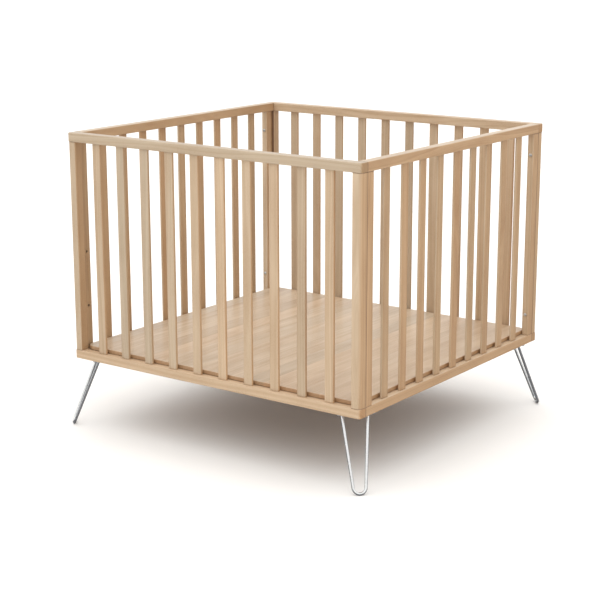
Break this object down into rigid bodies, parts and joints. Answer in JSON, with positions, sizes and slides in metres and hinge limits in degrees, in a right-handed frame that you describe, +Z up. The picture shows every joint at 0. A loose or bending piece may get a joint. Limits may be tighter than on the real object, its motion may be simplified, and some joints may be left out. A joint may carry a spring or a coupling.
{
  "type": "playpen",
  "caption": "Square wooden playpen with flat upright slats, a solid floor board that can be set at three heights, and four splayed hairpin legs.",
  "frame": {"origin": "on the ground, under the middle of the pen", "axes": "+X to the right along the front panel, +Y from the front panel to the back panel, +Z up"},
  "size_m": [1.0402, 1.0002, 0.86],
  "materials": {
    "frame_wood": "clear satin lacquer on solid beech",
    "floor_wood": "clear satin lacquer on finger-jointed beech staves",
    "dowel_wood": "raw fluted beech dowel",
    "leg_steel": "bright satin-plated round rod and flat plate",
    "fastener_steel": "zinc-plated",
    "insert_steel": "yellow zinc-plated"
  },
  "bodies": {
    "frame": {"back_bottom_rail": "frame_wood", "back_left_leg": "leg_steel", "back_posts": "frame_wood", "back_right_leg": "leg_steel", "back_slat_01": "frame_wood", "back_slat_02": "frame_wood", "back_slat_03": "frame_wood", "back_slat_04": "frame_wood", "back_slat_05": "frame_wood", "back_slat_06": "frame_wood", "back_slat_07": "frame_wood", "back_slat_08": "frame_wood", "back_slat_09": "frame_wood", "back_slat_10": "frame_wood", "back_top_rail": "frame_wood", "corner_bolts": "fastener_steel", "dowels": "dowel_wood", "front_bottom_rail": "frame_wood", "front_left_leg": "leg_steel", "front_posts": "frame_wood", "front_right_leg": "leg_steel", "front_slat_01": "frame_wood", "front_slat_02": "frame_wood", "front_slat_03": "frame_wood", "front_slat_04": "frame_wood", "front_slat_05": "frame_wood", "front_slat_06": "frame_wood", "front_slat_07": "frame_wood", "front_slat_08": "frame_wood", "front_slat_09": "frame_wood", "front_slat_10": "frame_wood", "front_top_rail": "frame_wood", "insert_nuts": "insert_steel", "left_bottom_rail": "frame_wood", "left_posts": "frame_wood", "left_slat_01": "frame_wood", "left_slat_02": "frame_wood", "left_slat_03": "frame_wood", "left_slat_04": "frame_wood", "left_slat_05": "frame_wood", "left_slat_06": "frame_wood", "left_slat_07": "frame_wood", "left_slat_08": "frame_wood", "left_slat_09": "frame_wood", "left_top_rail": "frame_wood", "leg_screws": "fastener_steel", "right_bottom_rail": "frame_wood", "right_posts": "frame_wood", "right_slat_01": "frame_wood", "right_slat_02": "frame_wood", "right_slat_03": "frame_wood", "right_slat_04": "frame_wood", "right_slat_05": "frame_wood", "right_slat_06": "frame_wood", "right_slat_07": "frame_wood", "right_slat_08": "frame_wood", "right_slat_09": "frame_wood", "right_top_rail": "frame_wood"},
    "floor": {"floor_board": "floor_wood"}
  },
  "joints": [
    {"name": "floor_lift", "type": "slide", "parent": "frame", "child": "floor", "axis": [0, 0, 1], "range_m": [0, 0.29]}
  ]
}
